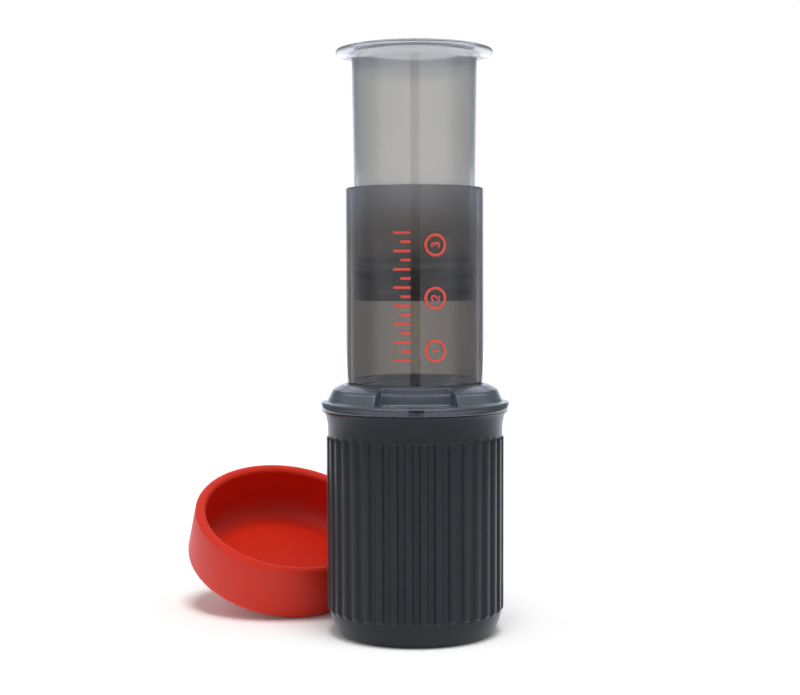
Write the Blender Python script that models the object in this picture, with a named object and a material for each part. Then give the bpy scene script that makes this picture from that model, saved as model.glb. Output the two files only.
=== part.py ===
"""Piston coffee press standing on its ribbed travel mug, with the mug's lid leaning beside it.

A see-through chamber rests by its flange on the mug's rim. A hollow plunger with a rubber seal
slides in the chamber, and a perforated cap locks a paper disc under the chamber's lower end.
Lengths are in metres, +Z is up, and the origin is the centre of the mug's flat base.
The photographed side faces -Y.
"""

import math

import bmesh
import bpy
from mathutils import Matrix

MM = 0.001

# Shared fits
SEAT_GAP = 0.3 * MM
EDGE = 0.4 * MM
OVERRUN = 1.0 * MM
FRONT_DEG = -90.0
FULL_TURN_DEG = 360.0

# Fineness of the round pieces
ROUND_STEPS = 60
SMALL_STEPS = 48
ARC_STEPS = 4
SHARP_DEG = 35.0
ANGLE_DECIMALS = 6

# Paper filter, a standard disc, and how far the chamber's lower end reaches past it
PAPER_R = 32.0 * MM
PAPER_THICKNESS = 0.5 * MM
PAPER_MARGIN = 0.5 * MM

# Chamber tube, heights from its lower end
CHAMBER_WALL = 2.5 * MM
CHAMBER_LENGTH = 113.8 * MM

# Bayonet lugs round the chamber's lower end
LUG_COUNT = 6
LUG_HALF_DEG = 12.0
LUG_RAMP_DEG = 6.0
LUG_REACH = 1.4 * MM
LUG_HEIGHT = 2.4 * MM
LUG_ABOVE_END = 1.6 * MM
LUG_TWIST_CLEARANCE = 0.3 * MM

# Filter cap
CAP_WALL = 1.6 * MM
CAP_FLOOR = 2.4 * MM
CAP_DEPTH = 12.5 * MM
CAP_LEDGE_HEIGHT = 2.0 * MM
FILTER_HOLE_R = 1.3 * MM
FILTER_HOLE_PITCH = 6.2 * MM
FILTER_HOLE_RINGS = 4
FILTER_HOLE_SIDES = 6

# Mug, from the foot up
MUG_HEIGHT = 106.0 * MM
MUG_CAP_CLEARANCE = 2.4 * MM
MUG_WALL = 2.5 * MM
MUG_RIM_WALL = 2.2 * MM
MUG_FLOOR = 3.0 * MM
MUG_FOOT_INSET = 5.0 * MM
MUG_CORNER_HEIGHT = 12.0 * MM
MUG_INNER_CORNER = 9.0 * MM
MUG_NECK_STEP = 0.7 * MM
MUG_FLARE_OUT = 2.9 * MM
MUG_FLARE_HEIGHT = 9.5 * MM
MUG_FLARE_DEG = 72.0
RIB_COUNT = 38
RIB_HEIGHT = 1.4 * MM
RIB_TOP_BELOW_RIM = 13.0 * MM
RIB_END_RAMP = 1.0 * MM
GROOVE_FLOOR_SHARE = 0.20
GROOVE_MOUTH_SHARE = 0.42
INNER_FLARE_SHARES = (0.0, 0.4, 0.75)

# Flange, one moulding with the chamber
LIP_ABOVE_END = 9.3 * MM
LIP_THICKNESS = 4.0 * MM
LIP_OVERHANG = 0.7 * MM
LIP_WIDTH = 3.2 * MM
SHOULDER_ABOVE_LIP = 5.3 * MM
SHOULDER_INSET = 2.7 * MM
PLATEAU_ABOVE_LIP = 7.8 * MM
PLATEAU_WIDTH = 1.4 * MM
PLATEAU_FILLET = 0.6 * MM
FLANGE_WALL = 1.8 * MM
SKIRT_DEPTH = 2.5 * MM
SKIRT_WALL = 1.8 * MM
SKIRT_CLEARANCE = 0.6 * MM

# Scoops cut back into the flange, and the vent under each
SCOOP_COUNT = 3
SCOOP_HALF_DEG = 26.0
SCOOP_SIDE_DEG = 2.0
SCOOP_LEDGE_WIDTH = 1.7 * MM
SCOOP_LEDGE_ABOVE_LIP = 4.9 * MM
SCOOP_FOOT_WIDTH = 2.7 * MM
VENT_WIDTH = 7.0 * MM
VENT_HEIGHT = 1.5 * MM
VENT_ABOVE_UNDERSIDE = 1.3 * MM

# Plunger tube, heights from the shoulder that meets the seal
PLUNGER_RUNNING_GAP = 1.9 * MM
PLUNGER_TAPER = 1.4 * MM
PLUNGER_WALL = 1.9 * MM
PLUNGER_LENGTH = 103.3 * MM
PLUNGER_FLOOR = 2.6 * MM
PLUNGER_FLOOR_FILLET = 2.0 * MM
GRIP_OVERHANG = 4.5 * MM
GRIP_THICKNESS = 2.4 * MM
GRIP_EDGE = 0.8 * MM
BOSS_NECK_R = 20.0 * MM
BOSS_NECK_HEIGHT = 3.5 * MM
BOSS_HEAD_STEP = 2.0 * MM
BOSS_HEAD_HEIGHT = 4.5 * MM

# Rubber seal, heights from its lower face
SEAL_HEIGHT = 14.1 * MM
SEAL_LIP_GAP = 0.3 * MM
SEAL_LIP_HEIGHT = 2.4 * MM
SEAL_WAIST_INSET = 1.0 * MM
SEAL_RAMP = 1.2 * MM
SEAL_FACE_INSET = 2.6 * MM
SEAL_ABOVE_CHAMBER_END = 60.8 * MM

# Lid, heights from its closed face, and how it leans
LID_FLANGE_CLEARANCE = 0.5 * MM
LID_WALL = 3.4 * MM
LID_DEPTH = 33.5 * MM
LID_FACE = 3.2 * MM
LID_FACE_INSET = 21.5 * MM
LID_SHOULDER_HEIGHT = 8.0 * MM
LID_INNER_CORNER = 12.0 * MM
LID_RIM_DRAW = 1.0 * MM
LID_LIP_REACH = 3.0 * MM
LID_LIP_HEIGHT = 6.0 * MM
LID_RIM_ROUND = 2.2 * MM
LID_TILT_DEG = 25.0
LID_ROLL_DEG = 11.1
LID_BEARING_DEG = 135.2
LID_STANDOFF = 7.95 * MM

# Radii that follow from the fits, from the paper outwards
CHAMBER_R = PAPER_R + PAPER_MARGIN
CHAMBER_BORE_R = CHAMBER_R - CHAMBER_WALL
LUG_R = CHAMBER_R + LUG_REACH
CAP_INNER_R = LUG_R + LUG_TWIST_CLEARANCE
CAP_R = CAP_INNER_R + CAP_WALL
CAP_LEDGE_R = CHAMBER_R + LUG_TWIST_CLEARANCE
MUG_INNER_R = CAP_R + MUG_CAP_CLEARANCE
GROOVE_R = MUG_INNER_R + MUG_WALL
RIB_R = GROOVE_R + RIB_HEIGHT
NECK_R = GROOVE_R + MUG_NECK_STEP
FOOT_R = NECK_R - MUG_FOOT_INSET
RIM_R = NECK_R + MUG_FLARE_OUT
RIM_INNER_R = RIM_R - MUG_RIM_WALL
LIP_R = RIM_R + LIP_OVERHANG
CONE_FOOT_R = LIP_R - LIP_WIDTH
SHOULDER_R = CONE_FOOT_R - SHOULDER_INSET
PLATEAU_R = CHAMBER_R + PLATEAU_WIDTH
SEAL_R = CHAMBER_BORE_R - SEAL_LIP_GAP
TUBE_R = CHAMBER_BORE_R - PLUNGER_RUNNING_GAP
GRIP_R = CHAMBER_R + GRIP_OVERHANG
BOSS_HEAD_R = BOSS_NECK_R + BOSS_HEAD_STEP
LID_INNER_R = LIP_R + LID_FLANGE_CLEARANCE
LID_R = LID_INNER_R + LID_WALL

# Heights that follow from the fits
RIB_TOP = MUG_HEIGHT - RIB_TOP_BELOW_RIM
FLARE_FOOT = MUG_HEIGHT - MUG_FLARE_HEIGHT
LIP_TOP = LIP_ABOVE_END + LIP_THICKNESS
SHOULDER_Z = LIP_TOP + SHOULDER_ABOVE_LIP
PLATEAU_Z = LIP_TOP + PLATEAU_ABOVE_LIP
SCOOP_LEDGE_Z = LIP_TOP + SCOOP_LEDGE_ABOVE_LIP
LUG_TOP = LUG_ABOVE_END + LUG_HEIGHT
PAPER_Z = -(SEAT_GAP + PAPER_THICKNESS)
CAP_Z = PAPER_Z - SEAT_GAP - CAP_FLOOR
CHAMBER_Z = MUG_HEIGHT + SEAT_GAP - LIP_ABOVE_END
SEAL_Z = SEAL_ABOVE_CHAMBER_END
TUBE_Z = SEAL_Z + SEAL_HEIGHT + SEAT_GAP


def clear_scene():
    """Remove every object of the scene."""
    for thing in list(bpy.data.objects):
        bpy.data.objects.remove(thing, do_unlink=True)


def finish_material(name, colour, roughness, metallic=0.0, alpha=1.0):
    """A Principled material."""
    material = bpy.data.materials.new(name)
    material.use_nodes = True
    shader = material.node_tree.nodes["Principled BSDF"]
    shader.inputs["Base Color"].default_value = (*colour, 1.0)
    shader.inputs["Roughness"].default_value = roughness
    shader.inputs["Metallic"].default_value = metallic
    shader.inputs["Alpha"].default_value = alpha
    material.diffuse_color = (*colour, alpha)
    return material


def arc(centre, radii, start_deg, end_deg, steps=ARC_STEPS):
    """Points of an elliptical arc in the outline plane, both ends included."""
    points = []
    for step in range(steps + 1):
        angle = math.radians(start_deg + (end_deg - start_deg) * step / steps)
        radius = centre[0] + radii[0] * math.cos(angle)
        height = centre[1] + radii[1] * math.sin(angle)
        points.append((radius, height))
    return points


def even_angles(steps):
    """Evenly spaced angles round a full turn, in degrees, starting at the front."""
    return [FRONT_DEG + FULL_TURN_DEG * step / steps for step in range(steps)]


def edge_angles(count, half_deg, ramp_deg):
    """Angles where each of count raised or sunk stretches starts and ends its two ramps."""
    angles = []
    for index in range(count):
        centre = FRONT_DEG + FULL_TURN_DEG * index / count
        for side in (-1, 1):
            angles.append(centre + side * half_deg)
            angles.append(centre + side * (half_deg + ramp_deg))
    return angles


def in_order(angles):
    """The different angles of a list, once each and in order round the turn."""
    turned = {round((angle - FRONT_DEG) % FULL_TURN_DEG, ANGLE_DECIMALS) for angle in angles}
    return [FRONT_DEG + angle for angle in sorted(turned)]


def within(angle, count, half_deg):
    """Whether an angle lies within half_deg of one of count evenly spaced centres."""
    pitch = FULL_TURN_DEG / count
    phase = (angle - FRONT_DEG) % pitch
    return min(phase, pitch - phase) < half_deg


def turned_mesh(name, outline_at, angles, closed=False):
    """A closed mesh through the outlines that outline_at gives at each angle.

    An outline is a list of radius and height that runs up the outer side. A closed one
    joins its last point to its first. Otherwise a flat disc closes each of its two ends.
    """
    bm = bmesh.new()
    columns = []
    for angle in angles:
        across = math.cos(math.radians(angle))
        along = math.sin(math.radians(angle))
        points = outline_at(angle)
        columns.append([bm.verts.new((r * across, r * along, height)) for r, height in points])
    count = len(columns[0])
    for here, there in zip(columns, columns[1:] + columns[:1]):
        for low in range(count if closed else count - 1):
            high = (low + 1) % count
            bm.faces.new((here[low], there[low], there[high], here[high]))
    if not closed:
        bm.faces.new([column[0] for column in columns])
        bm.faces.new([column[-1] for column in columns])
    bmesh.ops.recalc_face_normals(bm, faces=bm.faces)
    mesh = bpy.data.meshes.new(name)
    bm.to_mesh(mesh)
    bm.free()
    return mesh


def add_object(name, mesh, material, parent=None, height=0.0):
    """Put a smooth shaded mesh in the scene, at a height on its parent's axis."""
    mesh.shade_smooth()
    mesh.set_sharp_from_angle(angle=math.radians(SHARP_DEG))
    mesh.materials.append(material)
    thing = bpy.data.objects.new(name, mesh)
    thing.location = (0.0, 0.0, height)
    thing.parent = parent
    bpy.context.collection.objects.link(thing)
    return thing


def cut(target, name, mesh):
    """Cut a closed mesh out of target, and keep it as a guide."""
    cutter = bpy.data.objects.new(name, mesh)
    cutter.parent = target
    cutter.hide_render = True
    cutter.display_type = "WIRE"
    bpy.context.collection.objects.link(cutter)
    modifier = target.modifiers.new(name, "BOOLEAN")
    modifier.operation = "DIFFERENCE"
    modifier.solver = "EXACT"
    modifier.object = cutter


def rib_angles():
    """Angles of the foot and the crest of each rib's two flanks, a groove facing front."""
    pitch = FULL_TURN_DEG / RIB_COUNT
    floor = GROOVE_FLOOR_SHARE * pitch / 2
    mouth = GROOVE_MOUTH_SHARE * pitch / 2
    angles = []
    for rib in range(RIB_COUNT):
        groove = FRONT_DEG + pitch * rib
        angles += [groove - floor, groove + floor, groove + mouth, groove + pitch - mouth]
    return angles


def mug_outline(angle):
    """The mug's outer outline, on a rib or in the groove between two ribs."""
    flank_deg = (GROOVE_FLOOR_SHARE + GROOVE_MOUTH_SHARE) / 4 * FULL_TURN_DEG / RIB_COUNT
    wall_r = GROOVE_R if within(angle, RIB_COUNT, flank_deg) else RIB_R
    corner = arc((FOOT_R, MUG_CORNER_HEIGHT), (MUG_FOOT_INSET, MUG_CORNER_HEIGHT), -90, 0)
    ribbed = [
        (wall_r, MUG_CORNER_HEIGHT + RIB_END_RAMP),
        (wall_r, RIB_TOP - RIB_END_RAMP),
        (NECK_R, RIB_TOP),
    ]
    flare = arc((RIM_R, FLARE_FOOT), (-MUG_FLARE_OUT, MUG_FLARE_HEIGHT), 0, MUG_FLARE_DEG)
    rim = [(RIM_R, MUG_HEIGHT - EDGE), (RIM_R - EDGE, MUG_HEIGHT)]
    return corner + ribbed + flare + rim


def inner_flare_r(height):
    """The radius inside the mug at a height near its rim."""
    rise = max(0.0, height - FLARE_FOOT) / MUG_FLARE_HEIGHT
    return RIM_INNER_R - (RIM_INNER_R - MUG_INNER_R) * math.sqrt(1.0 - min(rise, 1.0) ** 2)


def cavity_outline(angle):
    """The space inside the mug, from its floor up past the rim."""
    centre = (MUG_INNER_R - MUG_INNER_CORNER, MUG_FLOOR + MUG_INNER_CORNER)
    corner = arc(centre, (MUG_INNER_CORNER, MUG_INNER_CORNER), -90, 0, 3)
    heights = [FLARE_FOOT + MUG_FLARE_HEIGHT * share for share in INNER_FLARE_SHARES]
    flare = [(inner_flare_r(height), height) for height in heights]
    mouth = [
        (RIM_INNER_R, MUG_HEIGHT - EDGE),
        (RIM_INNER_R + EDGE, MUG_HEIGHT),
        (RIM_INNER_R + EDGE, MUG_HEIGHT + OVERRUN),
    ]
    return corner + flare + mouth


def make_mug():
    """Ribbed mug with a flared rim and a rounded foot."""
    material = finish_material("mug_plastic", (0.042, 0.042, 0.048), 0.42)
    mug = add_object("mug", turned_mesh("mug", mug_outline, rib_angles()), material)
    cut(mug, "mug_cavity_cutter", turned_mesh("cavity", cavity_outline, even_angles(ROUND_STEPS)))
    return mug


def chamber_angles():
    """Even angles, and those where the scoops and the lugs start and end."""
    scoops = edge_angles(SCOOP_COUNT, SCOOP_HALF_DEG, SCOOP_SIDE_DEG)
    lugs = edge_angles(LUG_COUNT, LUG_HALF_DEG, LUG_RAMP_DEG)
    return in_order(even_angles(ROUND_STEPS) + scoops + lugs)


def on_lug(angle):
    """Whether a bayonet lug or ledge stands at its full reach at this angle."""
    return within(angle, LUG_COUNT, LUG_HALF_DEG + LUG_RAMP_DEG / 2)


def flange_underside(angle):
    """The hollow under the flange, from the chamber's wall out to the locating skirt."""
    skirt_foot = MUG_HEIGHT + SEAT_GAP - SKIRT_DEPTH
    skirt_r = inner_flare_r(skirt_foot) - SKIRT_CLEARANCE
    skirt_inner_r = skirt_r - SKIRT_WALL
    if within(angle, SCOOP_COUNT, SCOOP_HALF_DEG + 3 * SCOOP_SIDE_DEG / 2):
        roof_z = LIP_TOP - FLANGE_WALL
        hollow = [
            (CHAMBER_R, roof_z),
            (PLATEAU_R + SCOOP_FOOT_WIDTH, roof_z),
            (skirt_inner_r, (roof_z + LIP_ABOVE_END) / 2),
        ]
    else:
        hollow = [
            (CHAMBER_R, PLATEAU_Z - FLANGE_WALL),
            (SHOULDER_R - FLANGE_WALL, SHOULDER_Z - FLANGE_WALL),
            (CONE_FOOT_R - FLANGE_WALL, LIP_TOP),
        ]
    return hollow + [
        (skirt_inner_r, LIP_ABOVE_END),
        (skirt_inner_r, LIP_ABOVE_END - SKIRT_DEPTH),
        (skirt_r, LIP_ABOVE_END - SKIRT_DEPTH),
        (skirt_r, LIP_ABOVE_END),
    ]


def flange_top(angle):
    """The flange from the lip's edge up to the chamber's wall."""
    if within(angle, SCOOP_COUNT, SCOOP_HALF_DEG + SCOOP_SIDE_DEG / 2):
        foot_r = PLATEAU_R + SCOOP_FOOT_WIDTH
        brow = (PLATEAU_R + SCOOP_LEDGE_WIDTH, SCOOP_LEDGE_Z)
    else:
        foot_r = CONE_FOOT_R
        brow = (SHOULDER_R, SHOULDER_Z)
    return [
        (LIP_R - EDGE, LIP_ABOVE_END),
        (LIP_R, LIP_ABOVE_END + EDGE),
        (LIP_R, LIP_TOP - EDGE),
        (LIP_R - EDGE, LIP_TOP),
        (foot_r, LIP_TOP),
        brow,
        (PLATEAU_R, PLATEAU_Z),
        (CHAMBER_R + PLATEAU_FILLET, PLATEAU_Z),
        (CHAMBER_R, PLATEAU_Z + PLATEAU_FILLET),
    ]


def chamber_outline(angle):
    """The chamber's outline with its lug, flange and scoop, as they are at this angle."""
    lug_r = LUG_R if on_lug(angle) else CHAMBER_R
    lower = [
        (CHAMBER_BORE_R, 0.0),
        (CHAMBER_R - EDGE, 0.0),
        (CHAMBER_R, EDGE),
        (CHAMBER_R, LUG_ABOVE_END - EDGE),
        (lug_r, LUG_ABOVE_END),
        (lug_r, LUG_TOP),
        (CHAMBER_R, LUG_TOP + EDGE),
    ]
    mouth = [
        (CHAMBER_R, CHAMBER_LENGTH - EDGE),
        (CHAMBER_R - EDGE, CHAMBER_LENGTH),
        (CHAMBER_BORE_R + EDGE, CHAMBER_LENGTH),
        (CHAMBER_BORE_R, CHAMBER_LENGTH - EDGE),
    ]
    return lower + flange_underside(angle) + flange_top(angle) + mouth


def vent_mesh():
    """A short slot through the lip under each scoop, into the hollow under the flange."""
    bm = bmesh.new()
    inner = PLATEAU_R + SCOOP_LEDGE_WIDTH
    outer = LIP_R + OVERRUN
    height = LIP_ABOVE_END + VENT_ABOVE_UNDERSIDE + VENT_HEIGHT / 2
    for scoop in range(SCOOP_COUNT):
        turn = Matrix.Rotation(math.radians(FRONT_DEG + FULL_TURN_DEG * scoop / SCOOP_COUNT), 4, "Z")
        place = turn @ Matrix.Translation(((inner + outer) / 2, 0.0, height))
        shape = Matrix.Diagonal((outer - inner, VENT_WIDTH, VENT_HEIGHT, 1.0))
        bmesh.ops.create_cube(bm, size=1.0, matrix=place @ shape)
    mesh = bpy.data.meshes.new("vents")
    bm.to_mesh(mesh)
    bm.free()
    return mesh


def make_chamber():
    """See-through chamber, one moulding with its flange, scoops and bayonet lugs."""
    material = finish_material("chamber_plastic", (0.19, 0.19, 0.20), 0.12, alpha=0.55)
    mesh = turned_mesh("chamber", chamber_outline, chamber_angles(), closed=True)
    chamber = add_object("chamber", mesh, material, height=CHAMBER_Z)
    cut(chamber, "vent_cutter", vent_mesh())
    return chamber


def plunger_outline(angle):
    """The plunger tube's outline, from the boss that holds the seal to the grip flange."""
    mouth_r = TUBE_R + PLUNGER_TAPER
    grip_foot = PLUNGER_LENGTH - GRIP_THICKNESS
    head_foot = -(BOSS_NECK_HEIGHT + BOSS_HEAD_HEIGHT)
    inner_r = TUBE_R - PLUNGER_WALL
    boss = [
        (BOSS_HEAD_R - EDGE, head_foot),
        (BOSS_HEAD_R, head_foot + EDGE),
        (BOSS_HEAD_R, -BOSS_NECK_HEIGHT),
        (BOSS_NECK_R, -BOSS_NECK_HEIGHT),
        (BOSS_NECK_R, 0.0),
    ]
    wall = [(TUBE_R - EDGE, 0.0), (TUBE_R, EDGE), (mouth_r, grip_foot)]
    grip = [
        (GRIP_R - GRIP_EDGE, grip_foot),
        (GRIP_R, grip_foot + GRIP_EDGE),
        (GRIP_R, PLUNGER_LENGTH - GRIP_EDGE),
        (GRIP_R - GRIP_EDGE, PLUNGER_LENGTH),
    ]
    bore = [
        (mouth_r - PLUNGER_WALL + EDGE, PLUNGER_LENGTH),
        (mouth_r - PLUNGER_WALL, PLUNGER_LENGTH - EDGE),
        (inner_r, PLUNGER_FLOOR + PLUNGER_FLOOR_FILLET),
        (inner_r - PLUNGER_FLOOR_FILLET, PLUNGER_FLOOR),
    ]
    return boss + wall + grip + bore


def make_plunger(chamber):
    """Hollow plunger tube, open at the top, on the chamber's axis."""
    material = finish_material("plunger_plastic", (0.36, 0.36, 0.37), 0.12, alpha=0.45)
    mesh = turned_mesh("plunger_tube", plunger_outline, even_angles(ROUND_STEPS))
    return add_object("plunger_tube", mesh, material, chamber, TUBE_Z)


def seal_outline(angle):
    """The seal's outline: a lip at each end, a waist, and a socket for the plunger's boss."""
    waist_r = SEAL_R - SEAL_WAIST_INSET
    socket_mouth_r = BOSS_NECK_R + SEAT_GAP
    socket_r = BOSS_HEAD_R + SEAT_GAP
    undercut = SEAL_HEIGHT + SEAT_GAP - BOSS_NECK_HEIGHT + SEAT_GAP
    socket_floor = SEAL_HEIGHT - BOSS_NECK_HEIGHT - BOSS_HEAD_HEIGHT
    return [
        (SEAL_R - SEAL_FACE_INSET, 0.0),
        (SEAL_R, SEAL_RAMP),
        (SEAL_R, SEAL_RAMP + SEAL_LIP_HEIGHT),
        (waist_r, SEAL_RAMP + SEAL_LIP_HEIGHT + SEAL_RAMP),
        (waist_r, SEAL_HEIGHT - SEAL_LIP_HEIGHT - SEAL_RAMP),
        (SEAL_R, SEAL_HEIGHT - SEAL_LIP_HEIGHT),
        (SEAL_R, SEAL_HEIGHT - EDGE),
        (SEAL_R - EDGE, SEAL_HEIGHT),
        (socket_mouth_r, SEAL_HEIGHT),
        (socket_mouth_r, undercut),
        (socket_r, undercut),
        (socket_r, socket_floor),
    ]


def make_seal(plunger):
    """Rubber seal that caps the plunger's lower end."""
    material = finish_material("seal_rubber", (0.018, 0.018, 0.020), 0.55)
    mesh = turned_mesh("plunger_seal", seal_outline, even_angles(SMALL_STEPS))
    return add_object("plunger_seal", mesh, material, plunger, SEAL_Z - TUBE_Z)


def cap_outline(angle):
    """The filter cap's outline, with a bayonet ledge where there is one at this angle."""
    ledge_r = CAP_LEDGE_R if on_lug(angle) else CAP_INNER_R
    ledge_foot = LUG_TOP + EDGE + SEAT_GAP - CAP_Z
    return [
        (CAP_R - EDGE, 0.0),
        (CAP_R, EDGE),
        (CAP_R, CAP_DEPTH - EDGE),
        (CAP_R - EDGE, CAP_DEPTH),
        (CAP_INNER_R, CAP_DEPTH),
        (CAP_INNER_R, ledge_foot + CAP_LEDGE_HEIGHT + EDGE),
        (ledge_r, ledge_foot + CAP_LEDGE_HEIGHT),
        (ledge_r, ledge_foot),
        (CAP_INNER_R, ledge_foot - EDGE / 2),
        (CAP_INNER_R, CAP_FLOOR),
    ]


def hole_mesh():
    """The filter cap's holes, in rings round a middle one."""
    bm = bmesh.new()
    for ring in range(FILTER_HOLE_RINGS + 1):
        for hole in range(max(1, 6 * ring)):
            turn = Matrix.Rotation(math.radians(FULL_TURN_DEG * hole / max(1, 6 * ring)), 4, "Z")
            place = turn @ Matrix.Translation((FILTER_HOLE_PITCH * ring, 0.0, CAP_FLOOR / 2))
            bmesh.ops.create_cone(
                bm,
                cap_ends=True,
                segments=FILTER_HOLE_SIDES,
                radius1=FILTER_HOLE_R,
                radius2=FILTER_HOLE_R,
                depth=CAP_FLOOR + 2 * OVERRUN,
                matrix=place,
            )
    mesh = bpy.data.meshes.new("holes")
    bm.to_mesh(mesh)
    bm.free()
    return mesh


def make_cap(chamber):
    """Perforated filter cap, twisted on to the chamber's lugs."""
    material = finish_material("cap_plastic", (0.025, 0.025, 0.028), 0.40)
    lugs = edge_angles(LUG_COUNT, LUG_HALF_DEG, LUG_RAMP_DEG)
    angles = in_order(even_angles(ROUND_STEPS) + lugs)
    mesh = turned_mesh("filter_cap", cap_outline, angles)
    cap = add_object("filter_cap", mesh, material, chamber, CAP_Z)
    cut(cap, "filter_hole_cutter", hole_mesh())
    return cap


def paper_outline(angle):
    """The paper filter's outline."""
    return [(PAPER_R, 0.0), (PAPER_R, PAPER_THICKNESS)]


def make_paper(cap):
    """Paper filter disc between the cap's floor and the chamber's lower end."""
    material = finish_material("filter_paper", (0.80, 0.76, 0.68), 0.90)
    mesh = turned_mesh("paper_filter", paper_outline, even_angles(SMALL_STEPS))
    return add_object("paper_filter", mesh, material, cap, PAPER_Z - CAP_Z)


def lid_outline(angle):
    """The lid's outline: flat face, round shoulder, and a thick rim that curls inwards."""
    face_r = LID_R - LID_FACE_INSET
    shoulder = arc((face_r, LID_SHOULDER_HEIGHT), (LID_FACE_INSET, LID_SHOULDER_HEIGHT), -90, 0)
    rim_r = LID_R - LID_RIM_DRAW
    lip_r = LID_INNER_R - LID_LIP_REACH
    rim_middle = ((rim_r + lip_r) / 2, LID_DEPTH - LID_RIM_ROUND)
    rim = arc(rim_middle, ((rim_r - lip_r) / 2, LID_RIM_ROUND), 0, 180)
    inner_centre = (LID_INNER_R - LID_INNER_CORNER, LID_FACE + LID_INNER_CORNER)
    inner_corner = arc(inner_centre, (LID_INNER_CORNER, LID_INNER_CORNER), 0, -90)
    return shoulder + rim + [(LID_INNER_R, LID_DEPTH - LID_LIP_HEIGHT)] + inner_corner


def make_lid():
    """Soft lid taken off the mug, standing on its shoulder and leaning against the mug."""
    material = finish_material("lid_silicone", (0.52, 0.035, 0.022), 0.50)
    lid = add_object("lid", turned_mesh("lid", lid_outline, even_angles(ROUND_STEPS)), material)
    tilt = Matrix.Rotation(math.radians(LID_TILT_DEG), 4, "X")
    roll = Matrix.Rotation(math.radians(LID_ROLL_DEG), 4, "Y")
    lean = roll @ tilt
    lid.rotation_euler = lean.to_euler()
    distance = RIB_R + LID_R + LID_STANDOFF
    bearing = math.radians(LID_BEARING_DEG)
    lowest = min((lean @ vertex.co).z for vertex in lid.data.vertices)
    lid.location = (distance * math.cos(bearing), distance * math.sin(bearing), -lowest)
    return lid


def build():
    """Make every piece."""
    clear_scene()
    make_mug()
    chamber = make_chamber()
    plunger = make_plunger(chamber)
    make_seal(plunger)
    cap = make_cap(chamber)
    make_paper(cap)
    make_lid()


build()
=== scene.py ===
"""Looks of the piston coffee press: see-through chamber and plunger, ribbed mug and soft red lid.

Lengths are in metres, +Z is up, and the photographed side faces -Y. The turned pieces stand for
the frame's solids. They are remade finer on the same sizes, with rounded edges.
"""

import math

import bmesh
import bpy
from mathutils import Matrix, Vector


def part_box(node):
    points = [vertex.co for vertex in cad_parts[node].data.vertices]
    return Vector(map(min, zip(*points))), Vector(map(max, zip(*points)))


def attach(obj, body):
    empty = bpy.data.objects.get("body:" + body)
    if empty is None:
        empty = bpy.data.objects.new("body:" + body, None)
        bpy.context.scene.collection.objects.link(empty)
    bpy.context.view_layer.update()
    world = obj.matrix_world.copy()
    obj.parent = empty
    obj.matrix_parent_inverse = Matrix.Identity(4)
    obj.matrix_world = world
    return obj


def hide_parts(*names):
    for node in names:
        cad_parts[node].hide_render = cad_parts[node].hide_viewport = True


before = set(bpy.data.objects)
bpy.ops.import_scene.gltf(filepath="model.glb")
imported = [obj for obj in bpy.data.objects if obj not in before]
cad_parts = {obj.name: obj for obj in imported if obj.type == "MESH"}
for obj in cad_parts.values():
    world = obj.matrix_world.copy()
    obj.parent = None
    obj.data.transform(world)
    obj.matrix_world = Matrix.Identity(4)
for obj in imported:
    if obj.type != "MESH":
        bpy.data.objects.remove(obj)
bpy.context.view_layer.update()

MM = 0.001
FRONT_DEG = -90.0
QUARTER_TURN_DEG = 90.0
HALF_TURN_DEG = 180.0
FULL_TURN_DEG = 360.0

# Fineness
ROUND_STEPS = 144
FILLET_STEPS = 4
EDGE_STEPS = 6
FOOT_STEPS = 12
FLARE_STEPS = 10
INNER_CORNER_STEPS = 8
LID_STEPS = 10
SHARP_DEG = 40.0
ANGLE_DECIMALS = 6
WELD = 0.001 * MM

# Fillets that several edges share
NO_FILLET = 0.0
HAIR_FILLET = 0.3 * MM
FINE_FILLET = 0.4 * MM
EDGE_FILLET = 0.5 * MM
SOFT_FILLET = 0.6 * MM
ROUND_FILLET = 0.9 * MM

# Camera, as worked out from the photo
PHOTO_WIDTH_PX = 800.0
FOCAL_PX = 1505.0
SENSOR_WIDTH = 36.0
CAMERA_PLACE = (-7.1 * MM, -714.0 * MM, 165.8 * MM)
CAMERA_PITCH_DEG = 2.42
CAMERA_ROLL_DEG = -0.17
CLIP_START = 10.0 * MM

# Boxes of the solids that the turned pieces stand for
_, MUG_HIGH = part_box("mug")
CHAMBER_LOW, CHAMBER_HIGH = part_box("chamber")
_, TUBE_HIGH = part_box("plunger_tube")
SEAL_LOW, SEAL_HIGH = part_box("plunger_seal")
LID_LOW, LID_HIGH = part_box("lid")

# Chamber, heights from its lower end
CHAMBER_R = 32.5 * MM
CHAMBER_WALL = 2.5 * MM
BORE_R = CHAMBER_R - CHAMBER_WALL
CHAMBER_LENGTH = CHAMBER_HIGH.z - CHAMBER_LOW.z
CHAMBER_FOOT_FILLET = 0.7 * MM
LUG_COUNT = 6
LUG_HALF_DEG = 15.0
LUG_SIDE_DEG = 6.0
LUG_R = CHAMBER_R + 1.4 * MM
LUG_FOOT = 1.6 * MM
LUG_TOP = 4.0 * MM
LUG_EDGE = 0.4 * MM

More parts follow.
